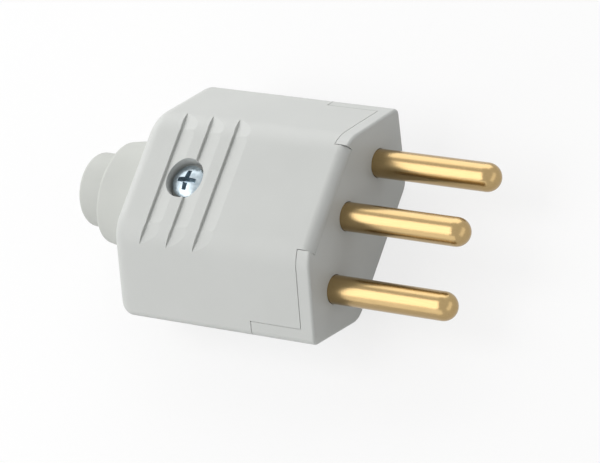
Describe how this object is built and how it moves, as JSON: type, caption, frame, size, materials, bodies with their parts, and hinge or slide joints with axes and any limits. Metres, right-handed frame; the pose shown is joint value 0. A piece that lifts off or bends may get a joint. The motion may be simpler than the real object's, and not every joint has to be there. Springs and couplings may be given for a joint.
{
  "type": "three-pin plug",
  "caption": "Rewireable three-round-pin mains plug with a six-sided moulded housing, grip grooves, a closing screw and a stepped cable sleeve.",
  "frame": {"origin": "middle of the pin face, midway between the live and the neutral pin", "axes": "+X out along the pins, +Y along the long side of the pin face, +Z to the side the housing screw goes in from"},
  "size_m": [0.0622, 0.0354, 0.0174],
  "materials": {
    "housing_plastic": "light grey moulded plastic, satin",
    "sleeve_plastic": "light grey soft plastic, satin",
    "brass": "turned and polished",
    "zinc_steel": "zinc plated"
  },
  "bodies": {
    "root": {"rear_body": "housing_plastic", "front_cover": "housing_plastic", "cable_sleeve": "sleeve_plastic", "live_pin": "brass", "neutral_pin": "brass", "earth_pin": "brass", "live_terminal_screw": "zinc_steel", "neutral_terminal_screw": "zinc_steel", "earth_terminal_screw": "zinc_steel", "housing_screw": "zinc_steel", "housing_nut": "zinc_steel"}
  },
  "joints": []
}
